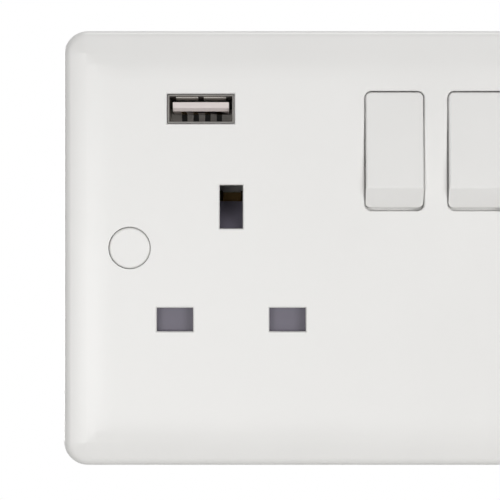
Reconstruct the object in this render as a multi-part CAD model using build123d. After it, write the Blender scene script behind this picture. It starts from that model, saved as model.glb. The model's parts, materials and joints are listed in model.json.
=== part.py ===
from build123d import *
import math
import os

# A double switched wall socket with two charging ports, in millimetres.
# It is drawn lying on its back: x along the plate, y up the wall, z out of the wall.
# z = 0 is the wall, and the origin lies behind the middle of the plate.

# Face plate
plate_width = 147.0
plate_height = 86.0
plate_depth = 9.5
plate_corner = 4.8
plate_wall = 2.4
face_thickness = 2.6
crown_width = 9.5
crown_drop = 1.7
edge_radius = 2.2
aperture_break = 0.2

# Pin layout of the two outlets and the pins that they take
outlet_spacing = 80.6
pin_pitch = 22.2
pin_row_y = -14.1
live_slot_width = 7.2
live_slot_height = 4.7
earth_slot_width = 4.6
earth_slot_height = 8.6
pin_thickness = 4.0
earth_pin_height = 8.0
live_pin_length = 17.7
earth_pin_length = 22.7
pin_end_gap = 0.4

# Fixings and the caps that hide them
fixing_centres = 120.6
fixing_boss_half = 5.75
fixing_boss_gap = 0.5
fixing_hole_half = 2.1
fixing_seat_depth = 5.1
fixing_head_radius = 3.3
fixing_head_height = 1.7
fixing_neck_radius = 1.5
fixing_thread_radius = 1.75
fixing_length = 25.0
cap_radius = 4.05
cap_gap = 0.12
cap_thickness = 1.5
cap_edge = 0.3
cap_plug_half = 2.6

# Rocker switches
rocker_spacing = 16.34
switch_room = 12.1
rocker_width = 11.2
rocker_reach = 11.5
rocker_gap = 0.3
rocker_corner = 1.1
rocker_edge = 0.3
rocker_wall = 1.5
rocker_face_height = 6.1
rocker_skirt = 1.0
rocker_head_lean = 0.6
rocker_toe_length = 3.5
rocker_toe_drop = 3.0
rocker_tail_lean = 0.9
rocker_throw = 11.0
flange_lap = 0.05
flange_gap = 0.25
flange_thickness = 1.0
aperture_corner = 1.4
pivot_depth = 5.1
pivot_radius = 1.2
pivot_length = 1.4
pivot_gap = 0.06
cradle_thickness = 2.0
cradle_half = 2.6
cradle_drop = 2.2
cradle_side_gap = 0.3

# Plunger, its spring and the rocking contact
plunger_half = 1.5
plunger_length = 5.8
plunger_reach = 7.4
bore_gap = 0.1
bore_top = 3.4
boss_wall = 1.2
boss_drop = 4.6
seesaw_width = 4.4
seesaw_reach = 7.5
seesaw_swing = 16.0
seesaw_gap = 0.05
contact_offset = 6.2
contact_length = 2.4
contact_height = 0.7
fulcrum_width = 3.6
fulcrum_foot = 2.4
fulcrum_tip = 0.4

# Shutters
slide_gap = 0.2
shutter_thickness = 2.3
shutter_lap = 1.2
shutter_top_lap = 0.5
shutter_stem_width = 9.0
ramp_width = 6.4
ramp_depth = 6.5
ramp_lip = 0.7
rail_thickness = 1.5
stop_width = 1.3
stop_gap = 0.1
ledge_width = 6.0
ledge_thickness = 1.5

# Springs
shutter_spring_radius = 1.0
shutter_spring_length = 9.5
shutter_spring_turns = 4
plunger_spring_radius = 1.15
plunger_spring_turns = 4
spring_wire = 0.4
spring_chords = 5

# Current-carrying strips, clips and terminals
strip = 0.8
strip_width = 4.0
clip_width = 6.0
clip_root = 2.2
clip_mouth = 2.4
clip_squeeze = 0.4
leaf = 0.6
leaf_pinch = 0.62
live_clip_height = 8.3
earth_clip_width = 7.0
earth_clip_gap = 0.5
riser_y = -5.0
riser_gap = 0.4
line_turn_y = -13.0
strip_turn_y = 1.5
switch_strip_x = 13.5
supply_arm_width = 2.0
terminal_pitch = 10.0
terminal_width = 8.0
terminal_height = 8.8
terminal_gap = 1.4
terminal_bore_radius = 2.4
terminal_end_wall = 1.2
terminal_screw_radius = 1.75
terminal_screw_sink = 0.4
terminal_slot_depth = 1.0
terminal_slot_width = 0.8
terminal_screw_gap = 0.05
window_gap = 0.15

# Contact carrier
carrier_thickness = 1.2
pocket_gap = 0.5
pocket_wall = 1.2
neutral_gap = 0.3
carrier_edge_gap = 0.6
barrier_wall = 1.0
barrier_height = 4.4
strip_gap = 0.3

# Back cover
body_width = 117.0
body_height = 66.0
body_corner = 3.0
cover_wall = 1.8
cover_thickness = 2.2
split_level = 2.5
notch_gap = 1.0
column_half = 3.0
column_strip_gap = 0.7
column_y = -6.0
column_gap = 0.3
cover_screw_radius = 1.25
cover_screw_gap = 0.3
cover_head_radius = 2.3
cover_head_height = 1.5
screw_end_gap = 1.0
thread_gap = 0.05
support_half = 3.0
board_rail = 1.2

# Charging ports and their power board
port_spacing = 92.6
port_width = 13.1
port_height = 5.7
port_gap = 0.1
port_margin = 0.95
port_setback = 0.3
shell_wall = 0.35
tongue_width = 11.1
tongue_height = 1.8
tongue_rise = 0.5
tongue_setback = 1.0
insulator_base = 9.0
contact_count = 4
contact_pitch = 2.33
contact_width = 1.0
contact_thickness = 0.3
contact_setback = 2.0
board_thickness = 1.6
board_gap = 0.4
board_edge_gap = 0.5
board_floor_gap = 1.0
link_half = 0.5
link_gap = 0.1
transformer_x = 25.0
core_width = 13.0
core_height = 12.0
core_depth = 6.0
core_limb = 2.6
winding_depth = 10.5
winding_gap = 0.15
big_cap_radius = 4.0
big_cap_height = 12.0
small_cap_radius = 3.15
small_cap_height = 11.0
big_cap_x = -22.5
film_cap_x = -30.5
film_cap_size = (5.5, 12.0, 10.0)
chip_x = 36.0
chip_size = (5.0, 4.0, 1.6)
fuse_size = (8.5, 4.0, 8.0)
board_part_gap = 0.8

# Levels and places that follow from the sizes above
ceiling = plate_depth - face_thickness
shutter_front = ceiling - slide_gap
shutter_back = shutter_front - shutter_thickness
pocket_top = shutter_back - slide_gap
live_strip_top = plate_depth - live_pin_length - pin_end_gap
carrier_top = live_strip_top - strip
carrier_bottom = carrier_top - carrier_thickness
board_front = carrier_bottom - board_gap
board_back = board_front - board_thickness
earth_pin_end = plate_depth - earth_pin_length - pin_end_gap
cover_floor = min(earth_pin_end - strip, board_back - board_floor_gap)
earth_strip_top = cover_floor + strip
cover_back = cover_floor - cover_thickness
pivot_level = plate_depth - pivot_depth
fixing_seat = plate_depth - fixing_seat_depth
seesaw_level = pivot_level - plunger_reach - seesaw_gap - strip
outlet_x = outlet_spacing / 2
pin_x = pin_pitch / 2
earth_y = pin_row_y + pin_pitch
rocker_x = rocker_spacing / 2
port_x = port_spacing / 2
fixing_x = fixing_centres / 2
notch_x = fixing_x - fixing_boss_half - notch_gap
notch_half = fixing_boss_half + notch_gap
shutter_travel = live_slot_height + shutter_top_lap
shutter_top = pin_row_y + live_slot_height / 2 + shutter_top_lap
shutter_bottom = pin_row_y - live_slot_height / 2 - shutter_lap
shutter_half = pin_x + live_slot_width / 2 + shutter_lap
spring_level = (shutter_front + shutter_back) / 2
ledge_y = shutter_bottom - shutter_spring_length
clip_half = clip_root + leaf
pocket_x = clip_width / 2 + pocket_gap + pocket_wall
pocket_y = clip_half + pocket_gap + pocket_wall
neutral_y = pin_row_y - pocket_y - neutral_gap - strip_width / 2
terminal_top = neutral_y - strip_width / 2 - terminal_gap
body_top = body_height / 2
body_low = -body_height / 2
rocker_y = body_top - cover_wall - switch_room
port_y = body_top - cover_wall - port_margin - port_height / 2
terminal_bore_length = terminal_top - body_low - terminal_end_wall
terminal_level = cover_floor + terminal_height / 2
earth_clip_top = shutter_front - ramp_depth - earth_clip_gap
board_low = earth_y + earth_clip_width / 2 + pocket_gap + strip_width / 2
board_high = body_top - cover_wall - board_edge_gap
board_middle = (board_low + board_high) / 2
supply_x = -outlet_x - pin_x + supply_arm_width
supply_y = board_low + supply_arm_width / 2
sides = (-1, 1)
strip_side = outlet_x - pin_x - pocket_x - neutral_gap - strip_width
column_x = strip_side - column_strip_gap - column_half
columns = [(s * column_x, column_y) for s in sides]
neutral_pins = [(s * outlet_x - pin_x, pin_row_y) for s in sides]
live_pins = [(s * outlet_x + pin_x, pin_row_y) for s in sides]
terminals = {"line": -terminal_pitch, "neutral": 0, "earth": terminal_pitch}


def block(x, y, z):
    """Box between the low and high value of each axis."""
    size = [high - low for low, high in (x, y, z)]
    centre = [(low + high) / 2 for low, high in (x, y, z)]
    return Pos(*centre) * Box(*size)


def disc(spot, radius, low, high):
    """Round bar along z."""
    return Pos(*spot, (low + high) / 2) * Cylinder(radius, high - low)


def plan(sketch, low, high):
    """Sketch in plan, raised between two levels."""
    return extrude(Pos(0, 0, low) * sketch, high - low)


def post(spot, half, low, high):
    """Square post along z."""
    x, y = spot
    return block((x - half, x + half), (y - half, y + half), (low, high))


def run(points, width):
    """Flat strip in plan along straight legs, square at its corners and ends."""
    legs = Sketch()
    for (xa, ya), (xb, yb) in zip(points, points[1:]):
        leg = Rectangle(abs(xb - xa) + width, abs(yb - ya) + width)
        legs += Pos((xa + xb) / 2, (ya + yb) / 2) * leg
    return legs


def coil(radius, length, turns):
    """Compression spring along z, wound in short chords and ground flat at its ends."""
    steps = turns * spring_chords
    points = []
    for step in range(steps + 1):
        angle = 2 * math.pi * step / spring_chords
        points.append((radius * math.cos(angle), radius * math.sin(angle), length * step / steps))
    path = Polyline(*points)
    section = Plane(origin=path @ 0, z_dir=path % 0) * Rectangle(spring_wire, spring_wire)
    wire = sweep(section, path, transition=Transition.RIGHT)
    return wire & post((0, 0), 2 * radius, 0, length)


def aperture(spot, width, height, corner=0.0):
    """Cutter for a hole through the face, with its front edge broken."""
    grown = 2 * aperture_break
    if corner:
        hole = RectangleRounded(width, height, corner)
        mouth = RectangleRounded(width + grown, height + grown, corner + aperture_break)
    else:
        hole = Rectangle(width, height)
        mouth = Rectangle(width + grown, height + grown)
    through = plan(Pos(*spot) * hole, ceiling, plate_depth)
    return through + extrude(Pos(*spot, plate_depth) * mouth, aperture_break, dir=(0, 0, -1), taper=45)


def body_outline(inset):
    """Outline of the part behind the plate, waisted to pass the two fixings."""
    width, height = body_width - 2 * inset, body_height - 2 * inset
    outline = Rectangle(width, height) if inset else RectangleRounded(width, height, body_corner)
    waist = body_width / 2 - notch_x + inset
    for side in sides:
        outline -= Pos(side * body_width / 2, 0) * Rectangle(2 * waist, 2 * (notch_half + inset))
    return outline


def crown_curve():
    """Radius, centre level and lean of the arc that crowns the border, and the edge arc's level."""
    radius = (crown_width**2 + crown_drop**2) / (2 * crown_drop)
    lean = math.asin((crown_width - edge_radius) / (radius - edge_radius))
    edge_level = plate_depth - radius + (radius - edge_radius) * math.cos(lean)
    return radius, plate_depth - radius, lean, edge_level


def crown_point(turn):
    """Inset and level on the crown's arc, by its angle from the top."""
    radius, centre, _, _ = crown_curve()
    return crown_width - radius * math.sin(turn), centre + radius * math.cos(turn)


def edge_point(turn):
    """Inset and level on the edge's arc, by its angle from the side."""
    edge_level = crown_curve()[3]
    return edge_radius * (1 - math.cos(turn)), edge_level + edge_radius * math.sin(turn)


def border_profile(half, reach):
    """Side, rounded edge and crown of the border from its foot in to a given inset, about x = 0."""
    radius, _, lean, edge_level = crown_curve()
    inner = math.asin((crown_width - reach) / radius)
    turns = (0, (math.pi / 2 - lean) / 2, math.pi / 2 - lean)
    edge = [(half - inset, level) for inset, level in map(edge_point, turns)]
    turns = (lean, (lean + inner) / 2, inner)
    crown = [(half - inset, level) for inset, level in map(crown_point, turns)]
    top = crown[-1]
    lines = [Line((0, 0), (half, 0)), Line((half, 0), (half, edge_level))]
    lines += [ThreePointArc(*edge), ThreePointArc(edge[-1], *crown[1:])]
    if top[0] > 0:
        lines.append(Line(top, (0, top[1])))
    return make_face(Curve() + lines + [Line((0, top[1]), (0, 0))])


def plate_form():
    """Straight sides, a rounded edge and a gently crowned border round a flat face."""
    half_x, half_y = plate_width / 2, plate_height / 2
    along_x = extrude(Plane.XZ * border_profile(half_x, crown_width), half_y, both=True)
    along_y = extrude(Plane.YZ * border_profile(half_y, crown_width), half_x, both=True)
    form = (along_x + mirror(along_x, Plane.YZ)) & (along_y + mirror(along_y, Plane.XZ))
    corner_turn = revolve(Plane.XZ * border_profile(plate_corner, plate_corner), Axis.Z, 90)
    for turn, (x, y) in enumerate(((1, 1), (-1, 1), (-1, -1), (1, -1))):
        spot = (x * (half_x - plate_corner), y * (half_y - plate_corner))
        middle = (x * (half_x - plate_corner / 2), y * (half_y - plate_corner / 2))
        form -= post(middle, plate_corner / 2, 0, plate_depth)
        form += Pos(*spot, 0) * Rot(0, 0, 90 * turn) * corner_turn
    return form


def rocker_cradles():
    """Lugs that hang from the face, open to the back, for the rockers' pivots."""
    inner = rocker_x - rocker_width / 2 - cradle_side_gap
    outer = rocker_x + rocker_width / 2 + cradle_side_gap
    spans = [(-inner, inner), (outer, outer + cradle_thickness), (-outer - cradle_thickness, -outer)]
    y = (rocker_y - cradle_half, rocker_y + cradle_half)
    low = pivot_level - cradle_drop
    lugs = Part() + [block(span, y, (low, ceiling)) for span in spans]
    radius = pivot_radius + pivot_gap
    seat = Pos(0, rocker_y, pivot_level) * Rot(0, 90, 0) * Cylinder(radius, 2 * (outer + cradle_thickness))
    mouth = block((-outer - cradle_thickness, outer + cradle_thickness),
                  (rocker_y - radius, rocker_y + radius), (low, pivot_level))
    return lugs - seat - mouth


def shutter_guides(x):
    """Rails, stops and the spring ledge for one outlet's shutter."""
    guides = Part()
    for side in sides:
        rail_x = x + side * (shutter_half + slide_gap + rail_thickness / 2)
        rail = Pos(rail_x, (shutter_top + ledge_y) / 2) * Rectangle(rail_thickness, shutter_top - ledge_y)
        stop_inner = shutter_stem_width / 2 + slide_gap
        stop_length = shutter_half - stop_inner
        stop_y = shutter_top + stop_gap + stop_width / 2
        stop = Pos(x + side * (stop_inner + stop_length / 2), stop_y) * Rectangle(stop_length, stop_width)
        guides += plan(rail + stop, shutter_back, ceiling)
    ledge = Pos(x, ledge_y - ledge_thickness / 2) * Rectangle(ledge_width, ledge_thickness)
    return guides + plan(ledge, shutter_back, ceiling)


def front_plate():
    """The moulded face with its apertures, wells, rails, cradles and bosses."""
    inner_x, inner_y = plate_width / 2 - plate_wall, plate_height / 2 - plate_wall
    plate = plate_form() - block((-inner_x, inner_x), (-inner_y, inner_y), (0, ceiling))
    plate += plan(body_outline(0) - body_outline(cover_wall), split_level, ceiling)
    plate += rocker_cradles()
    for side in sides:
        plate += shutter_guides(side * outlet_x)
        plate += post((side * fixing_x, 0), fixing_boss_half, fixing_boss_gap, ceiling)
    for spot in columns:
        plate += post(spot, column_half, split_level, ceiling)
        plate -= post(spot, cover_screw_radius + thread_gap, split_level, ceiling)
    for side in sides:
        well = (side * fixing_x, 0)
        plate -= disc(well, cap_radius + cap_gap, fixing_seat, plate_depth)
        plate -= post(well, fixing_hole_half, 0, fixing_seat)
        plate -= aperture((side * rocker_x, rocker_y), rocker_width + 2 * rocker_gap,
                          2 * (rocker_reach + rocker_gap), aperture_corner)
        plate -= aperture((side * port_x, port_y), port_width + 2 * port_gap, port_height + 2 * port_gap)
        plate -= aperture((side * outlet_x, earth_y), earth_slot_width, earth_slot_height)
    for spot in neutral_pins + live_pins:
        plate -= aperture(spot, live_slot_width, live_slot_height)
    return plate


def screw_cap(x):
    """Push-in cap, flush with the face, with a plug that stands on the screw's head."""
    low = plate_depth - cap_thickness
    top = disc((x, 0), cap_radius, low, plate_depth)
    top = chamfer(top.edges().group_by(Axis.Z)[-1], cap_edge)
    return top + post((x, 0), cap_plug_half, fixing_seat + fixing_head_height, low)


def fixing_screws():
    """The two screws that hold the plate to the wall box."""
    screws = []
    for side in sides:
        spot = (side * fixing_x, 0)
        neck_end = fixing_boss_gap - slide_gap
        screw = disc(spot, fixing_head_radius, fixing_seat, fixing_seat + fixing_head_height)
        screw += disc(spot, fixing_neck_radius, neck_end, fixing_seat)
        screws.append(screw + disc(spot, fixing_thread_radius, fixing_seat - fixing_length, neck_end))
    return Part() + screws


def rocker_profile(back):
    """Side view of a rocker about its pivot, level, down to its back edge."""
    head = rocker_reach - rocker_head_lean
    slope = rocker_tail_lean / (rocker_face_height - rocker_toe_drop + rocker_skirt)
    tail = -rocker_reach + slope * (rocker_face_height - rocker_toe_drop + back)
    return Polygon((head, rocker_face_height), (rocker_toe_length - rocker_reach, rocker_face_height),
                   (-rocker_reach, rocker_face_height - rocker_toe_drop), (tail, -back),
                   (head - rocker_head_lean, -back), align=None)


def rocker_flange():
    """Rim behind the face that closes the gap round a rocker, open at the cradles."""
    lap = rocker_gap + flange_lap
    reach, half = rocker_reach + lap, rocker_width / 2 + lap
    top = ceiling - pivot_level - flange_gap - reach * math.sin(math.radians(rocker_throw / 2))
    rim = RectangleRounded(2 * half, 2 * reach, aperture_corner)
    rim -= Rectangle(rocker_width - rocker_wall, 2 * (rocker_reach - rocker_wall))
    for side in sides:
        rim -= Pos(side * (half - lap / 2), 0) * Rectangle(lap, 2 * (cradle_half + flange_gap))
    return plan(rim, top - flange_thickness, top)


def at_rest(shape, side):
    """Turn a rocker piece from level to off and set it on its pivot."""
    return Pos(side * rocker_x, rocker_y, pivot_level) * Rot(-rocker_throw / 2, 0, 0) * shape


def rocker(side):
    """Hollow rocker with its pivots and the square tube that guides the plunger."""
    half = rocker_width / 2
    body = extrude(Plane.YZ * rocker_profile(rocker_skirt), half, both=True)
    uprights = body.edges().filter_by(lambda edge: abs((edge % 0.5).Z) > abs((edge % 0.5).Y))
    ends = uprights.group_by(Axis.Y)
    body = fillet(ends[0] + ends[-1], rocker_corner)
    front = body.faces().sort_by(Axis.Z)[-1]
    body = chamfer(front.edges(), rocker_edge)
    cavity = offset(rocker_profile(rocker_skirt + rocker_wall), -rocker_wall)
    body -= extrude(Plane.YZ * cavity, half - rocker_wall, both=True)
    body += rocker_flange()
    bore_half = plunger_half + bore_gap
    body += post((0, 0), bore_half + boss_wall, -boss_drop, rocker_face_height - rocker_wall)
    body -= post((0, 0), bore_half, -boss_drop, bore_top)
    for end in sides:
        x = end * (half + pivot_length / 2)
        body += Pos(x, 0, 0) * Rot(0, 90, 0) * Cylinder(pivot_radius, pivot_length)
    return at_rest(body, side)


def plunger(side):
    """Square pin with a half-round nose that the rocker carries across the rocking contact."""
    nose = plunger_half - plunger_reach
    pin = post((0, 0), plunger_half, nose, plunger_length - plunger_reach)
    pin += Pos(0, 0, nose) * Rot(0, 90, 0) * Cylinder(plunger_half, 2 * plunger_half)
    return at_rest(pin, side)


def plunger_spring(side):
    """Spring between the plunger and the end of its bore."""
    low = plunger_length - plunger_reach
    return at_rest(Pos(0, 0, low) * coil(plunger_spring_radius, bore_top - low, plunger_spring_turns), side)


def seesaw_contact(side):
    """Moving contact blade, tipped open, with its silver tip beneath."""
    half = seesaw_width / 2
    blade = block((-half, half), (-seesaw_reach, seesaw_reach), (0, strip))
    tip_y = (contact_offset - contact_length / 2, contact_offset + contact_length / 2)
    tip = block((-half, half), tip_y, (-contact_height, 0))
    place = Pos(side * rocker_x, rocker_y, seesaw_level) * Rot(seesaw_swing / 2, 0, 0)
    return place * (blade + tip)


def shutter(x):
    """Sliding shutter with the ramp that the earth pin pushes down."""
    pads = block((-shutter_half, shutter_half), (shutter_bottom, shutter_top), (shutter_back, shutter_front))
    foot = earth_y - earth_slot_height / 2 - slide_gap / 2
    tip = earth_y - earth_pin_height / 2 + shutter_travel + slide_gap / 2
    half = shutter_stem_width / 2
    stem = block((-half, half), (shutter_bottom, foot), (shutter_back, shutter_front))
    ramp_back = shutter_front - ramp_depth
    wedge = Polygon((foot, shutter_front), (tip, ramp_back + ramp_lip), (tip, ramp_back),
                    (foot, ramp_back), (foot - ramp_depth, shutter_back),
                    (foot - ramp_depth, shutter_front), align=None)
    ramp = extrude(Plane.YZ * wedge, ramp_width / 2, both=True)
    return Pos(x, 0, 0) * (pads + stem + ramp)


def shutter_spring(x):
    """Spring that pushes a shutter up from the ledge behind the face."""
    spring = coil(shutter_spring_radius, shutter_spring_length, shutter_spring_turns)
    return Pos(x, ledge_y, spring_level) * Rot(-90, 0, 0) * spring


def clip_leaves(plane, floor, top, width):
    """Pair of sprung leaves, pinched to grip a flat pin."""
    grip = (pin_thickness - clip_squeeze) / 2
    inner = [(clip_root, floor), (grip, floor + leaf_pinch * (top - floor)), (clip_mouth, top)]
    outline = inner + [(across + leaf, up) for across, up in reversed(inner)]
    leaves = Part()
    for side in sides:
        face = Polygon(*[(side * across, up) for across, up in outline], align=None)
        leaves += extrude(plane * face, width / 2, both=True)
    return leaves


def live_clip(spot):
    """Clip for a line or neutral pin, standing on its base."""
    base = Rectangle(clip_width, 2 * clip_half)
    leaves = clip_leaves(Plane.YZ, carrier_top, carrier_top + live_clip_height, clip_width)
    return Pos(*spot, 0) * (plan(base, carrier_top, live_strip_top) + leaves)


def upper_strip(sketch):
    """Strip lying on the contact carrier."""
    return plan(sketch, carrier_top, live_strip_top)


def floor_strip(sketch):
    """Strip lying on the floor of the back cover."""
    return plan(sketch, cover_floor, earth_strip_top)


def neutral_bar():
    """Bar that joins the two neutral clips, the neutral terminal and the power board."""
    (left, _), (right, _) = neutral_pins
    bar = run([(left, neutral_y), (right, neutral_y)], strip_width)
    for x, y in neutral_pins:
        bar += run([(x, neutral_y), (x, y)], strip_width)
    x = terminals["neutral"]
    bar += Pos(x, (neutral_y + terminal_top) / 2) * Rectangle(strip_width, neutral_y - terminal_top)
    bar += run([(supply_x, pin_row_y + clip_half), (supply_x, supply_y)], supply_arm_width)
    return upper_strip(bar) + [live_clip(spot) for spot in neutral_pins]


def line_bar():
    """Bar from the line terminal up to the fulcrums of the two rocking contacts."""
    upper = run([(-rocker_x, rocker_y), (rocker_x, rocker_y)], strip_width)
    half = strip_width / 2
    upper += Pos(0, (rocker_y + riser_y) / 2) * Rectangle(strip_width, rocker_y - riser_y)
    x = terminals["line"]
    lower = Pos(0, (riser_y + line_turn_y) / 2) * Rectangle(strip_width, riser_y - line_turn_y)
    lower += run([(0, line_turn_y), (x, line_turn_y)], strip_width)
    lower += Pos(x, (line_turn_y + terminal_top) / 2) * Rectangle(strip_width, line_turn_y - terminal_top)
    riser = block((-half, half), (riser_y - strip, riser_y), (cover_floor, live_strip_top))
    bar = upper_strip(upper) + floor_strip(lower) + riser
    top = seesaw_level - seesaw_gap
    wedge = Polygon((-fulcrum_foot / 2, carrier_top), (fulcrum_foot / 2, carrier_top),
                    (fulcrum_tip / 2, top), (-fulcrum_tip / 2, top), align=None)
    fulcrum = extrude(Plane.YZ * wedge, fulcrum_width / 2, both=True)
    for side in sides:
        bar += Pos(side * rocker_x, rocker_y, 0) * fulcrum
    return bar


def line_clip(side):
    """Line clip of one outlet with its strip and the switch's fixed contact."""
    x, y = live_pins[sides.index(side)]
    exit_x = x - side * (pocket_x + neutral_gap + strip_width / 2)
    turn_x = side * switch_strip_x
    tip_x, tip_y = side * rocker_x, rocker_y + contact_offset
    path = [(x, y), (exit_x, y), (exit_x, strip_turn_y), (turn_x, strip_turn_y), (turn_x, tip_y),
            (tip_x, tip_y)]
    swing = math.radians(seesaw_swing / 2)
    reach = contact_offset + contact_length / 2
    closed = seesaw_level - reach * math.sin(swing) - contact_height * math.cos(swing) - seesaw_gap
    half = contact_length / 2
    tip = block((tip_x - half, tip_x + half), (tip_y - half, tip_y + half), (live_strip_top, closed))
    return upper_strip(run(path, strip_width)) + live_clip((x, y)) + tip


def earth_bar():
    """Earth strip on the cover's floor with the two earth clips and its stem."""
    bar = run([(-outlet_x, earth_y), (outlet_x, earth_y)], strip_width)
    x = terminals["earth"]
    bar += Pos(x, (earth_y + terminal_top) / 2) * Rectangle(strip_width, earth_y - terminal_top)
    for side in sides:
        bar += Pos(side * outlet_x, earth_y) * Rectangle(2 * clip_half, earth_clip_width)
    clips = floor_strip(bar)
    for side in sides:
        leaves = clip_leaves(Plane.XZ, cover_floor, earth_clip_top, earth_clip_width)
        clips += Pos(side * outlet_x, earth_y, 0) * leaves
    return clips


def terminal(x):
    """Brass block with a wire hole from below and a screw hole from behind."""
    body = block((x - terminal_width / 2, x + terminal_width / 2), (body_low, terminal_top),
                 (cover_floor, cover_floor + terminal_height))
    screw_y = body_low + terminal_bore_length / 2
    wire = Pos(x, screw_y, terminal_level) * Rot(90, 0, 0)
    body -= wire * Cylinder(terminal_bore_radius, terminal_bore_length)
    return body - disc((x, screw_y), terminal_screw_radius + terminal_screw_gap, cover_floor, terminal_level)


def terminal_screws():
    """Slotted screws without heads, backed out so that a wire can go in."""
    screws = []
    for x in terminals.values():
        spot = (x, body_low + terminal_bore_length / 2)
        low = cover_back + terminal_screw_sink
        screw = disc(spot, terminal_screw_radius, low, terminal_level - terminal_bore_radius)
        slot = Box(2 * terminal_screw_radius, terminal_slot_width, 2 * terminal_slot_depth)
        screws.append(screw - Pos(*spot, low) * slot)
    return Part() + screws


def contact_carrier():
    """Moulded tray for the live strips, with a pocket round each clip."""
    low = neutral_y - strip_width / 2
    step = pin_row_y + pocket_y
    high = earth_y - earth_clip_width / 2 - carrier_edge_gap
    wide = outlet_x + pin_x + pocket_x
    narrow = notch_x - cover_wall - carrier_edge_gap
    switch_half = switch_strip_x + strip_width / 2 + strip_gap + barrier_wall
    switch_top = board_high
    floor = Pos(0, (low + step) / 2) * Rectangle(2 * wide, step - low)
    floor += Pos(0, (step + high) / 2) * Rectangle(2 * narrow, high - step)
    floor += Pos(0, (high + switch_top) / 2) * Rectangle(2 * switch_half, switch_top - high)
    riser = Pos(0, riser_y - strip / 2) * Rectangle(strip_width + 2 * riser_gap, strip + 2 * riser_gap)
    link = Pos(0, rocker_y) * Rectangle(2 * (link_half + link_gap), 2 * (link_half + link_gap))
    carrier = plan(floor - riser - link, carrier_bottom, carrier_top)
    for spot in columns:
        carrier -= post(spot, column_half + column_gap, carrier_bottom, carrier_top)
    inner = Rectangle(2 * (pocket_x - pocket_wall), 2 * (pocket_y - pocket_wall))
    for spot in neutral_pins + live_pins:
        carrier += plan(Pos(*spot) * (Rectangle(2 * pocket_x, 2 * pocket_y) - inner), carrier_top, pocket_top)
    clear = strip_width + 2 * strip_gap
    gaps = Sketch()
    for x, y in neutral_pins:
        gaps += run([(x, y), (x, neutral_y)], clear)
    gaps += run([(supply_x, pin_row_y), (supply_x, step)], supply_arm_width + 2 * strip_gap)
    for side, (x, y) in zip(sides, live_pins):
        gaps += run([(x, y), (x - side * (pocket_x + strip_width / 2), y)], clear)
    carrier -= plan(gaps, carrier_top, live_strip_top + strip_gap)
    rim = Rectangle(2 * switch_half, switch_top - high)
    rim -= Pos(0, -barrier_wall) * Rectangle(2 * (switch_half - barrier_wall), switch_top - high)
    return carrier + plan(Pos(0, (high + switch_top) / 2) * rim, carrier_top, carrier_top + barrier_height)


def back_cover():
    """Rear moulding with its walls, screw columns, supports and terminal windows."""
    cover = plan(body_outline(0), cover_back, split_level)
    cover -= plan(body_outline(cover_wall), cover_floor, split_level)
    for spot in columns:
        cover += post(spot, column_half, cover_floor, split_level)
        cover -= post(spot, cover_screw_radius + cover_screw_gap, cover_back, split_level)
    for spot in neutral_pins + live_pins:
        cover += post(spot, support_half, cover_floor, carrier_bottom)
    reach = body_width / 2 - cover_wall
    for y in (board_low + board_rail, board_high - board_rail):
        cover += block((-reach, reach), (y - board_rail / 2, y + board_rail / 2), (cover_floor, board_back))
    for x in terminals.values():
        half = terminal_width / 2 + window_gap
        cover -= block((x - half, x + half), (body_low, body_low + cover_wall),
                       (cover_floor, cover_floor + terminal_height + window_gap))
        half = terminal_screw_radius + cover_screw_gap
        cover -= block((x - half, x + half), (body_low, body_low + terminal_bore_length / 2 + half),
                       (cover_back, cover_floor))
    return cover


def mains_links():
    """Pins that feed the power board from the line and neutral bars."""
    return Part() + [post(spot, link_half, board_front, carrier_top)
                     for spot in ((0, rocker_y), (supply_x, supply_y))]


def cover_screws():
    """Screws that hold the cover to the plate from behind."""
    screws = []
    for spot in columns:
        head = disc(spot, cover_head_radius, cover_back - cover_head_height, cover_back)
        screws.append(head + disc(spot, cover_screw_radius, cover_back, ceiling - screw_end_gap))
    return Part() + screws


def usb_shell(side):
    """Folded metal shell of a charging port."""
    tube = Rectangle(port_width, port_height)
    tube -= Rectangle(port_width - 2 * shell_wall, port_height - 2 * shell_wall)
    return plan(Pos(side * port_x, port_y) * tube, board_front, plate_depth - port_setback)


def usb_contacts(side):
    """Four sprung contacts under a port's tongue."""
    low = tongue_rise - tongue_height / 2
    strips = []
    for index in range(contact_count):
        x = side * port_x + (index - (contact_count - 1) / 2) * contact_pitch
        strips.append(block((x - contact_width / 2, x + contact_width / 2),
                            (port_y + low, port_y + low + contact_thickness),
                            (board_front, plate_depth - port_setback - contact_setback)))
    return Part() + strips


def usb_insulator(side):
    """Moulded block and tongue inside a port, slotted for its contacts."""
    x = side * port_x
    base = Pos(x, port_y) * Rectangle(port_width - 2 * shell_wall, port_height - 2 * shell_wall)
    tongue = Pos(x, port_y + tongue_rise) * Rectangle(tongue_width, tongue_height)
    body = plan(base, board_front, board_front + insulator_base)
    body += plan(tongue, board_front, plate_depth - port_setback - tongue_setback)
    return body - usb_contacts(side)


def usb_board():
    """Power board across the top of the body."""
    half = body_width / 2 - cover_wall - board_edge_gap
    return block((-half, half), (board_low, board_high), (board_back, board_front))


def on_board(x, y):
    """Place on the front of the power board."""
    return Pos(x, y, board_front)


def transformer_core():
    """Ferrite core: a frame with a middle limb."""
    half = core_width / 2
    frame = block((-half, half), (-core_depth / 2, core_depth / 2), (0, core_height))
    for side in sides:
        near, far = sorted((side * core_limb, side * (half - core_limb)))
        frame -= block((near, far), (-core_depth / 2, core_depth / 2), (core_limb, core_height - core_limb))
    return on_board(transformer_x, board_middle) * frame


def transformer_winding():
    """Taped winding round the core's middle limb."""
    outer = Rectangle(core_width - 2 * (core_limb + winding_gap), winding_depth)
    inner = Rectangle(2 * (core_limb + winding_gap), core_depth + 2 * winding_gap)
    low, high = core_limb + winding_gap, core_height - core_limb - winding_gap
    return on_board(transformer_x, board_middle) * plan(outer - inner, low, high)


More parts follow.
